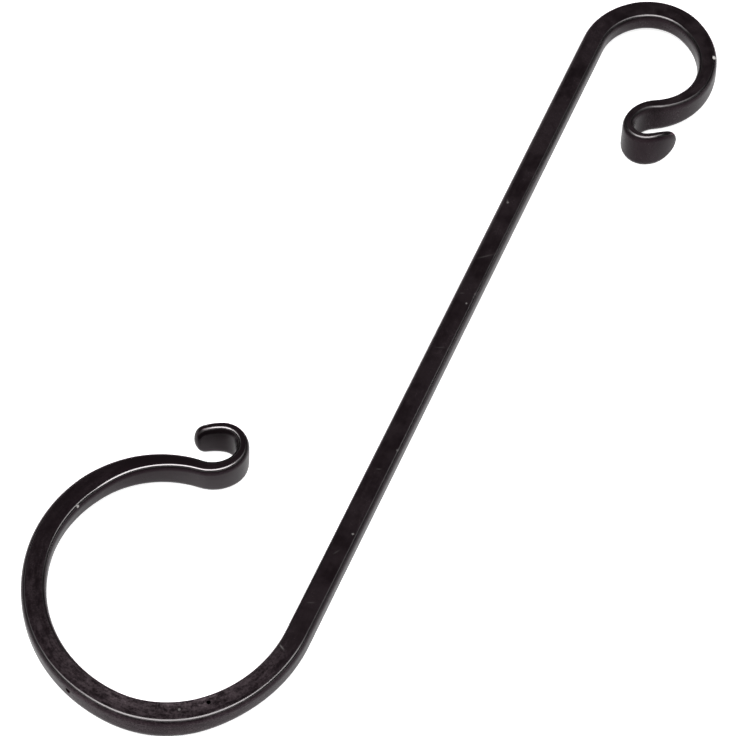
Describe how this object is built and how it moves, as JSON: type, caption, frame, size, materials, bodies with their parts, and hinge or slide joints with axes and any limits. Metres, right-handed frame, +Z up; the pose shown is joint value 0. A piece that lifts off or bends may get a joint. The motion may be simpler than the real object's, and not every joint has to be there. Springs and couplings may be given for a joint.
{
  "type": "s hook",
  "caption": "S-shaped hook bent from square steel bar, with a large open hook at one end, a small open hook at the other, and a small outward scroll on each drawn tip.",
  "frame": {"origin": "middle of the hook's footprint as it lies flat, at the level of its lowest edge", "axes": "+Y along the straight shank, from the large hook to the small hook; +Z up out of the hook's plane; +X to the side that the small hook bends to"},
  "size_m": [0.1128, 0.2784, 0.0127],
  "materials": {
    "black_coat": "semi-gloss black over hammered steel, slightly mottled"
  },
  "bodies": {
    "root": {"hook_bar": "black_coat"}
  },
  "joints": []
}
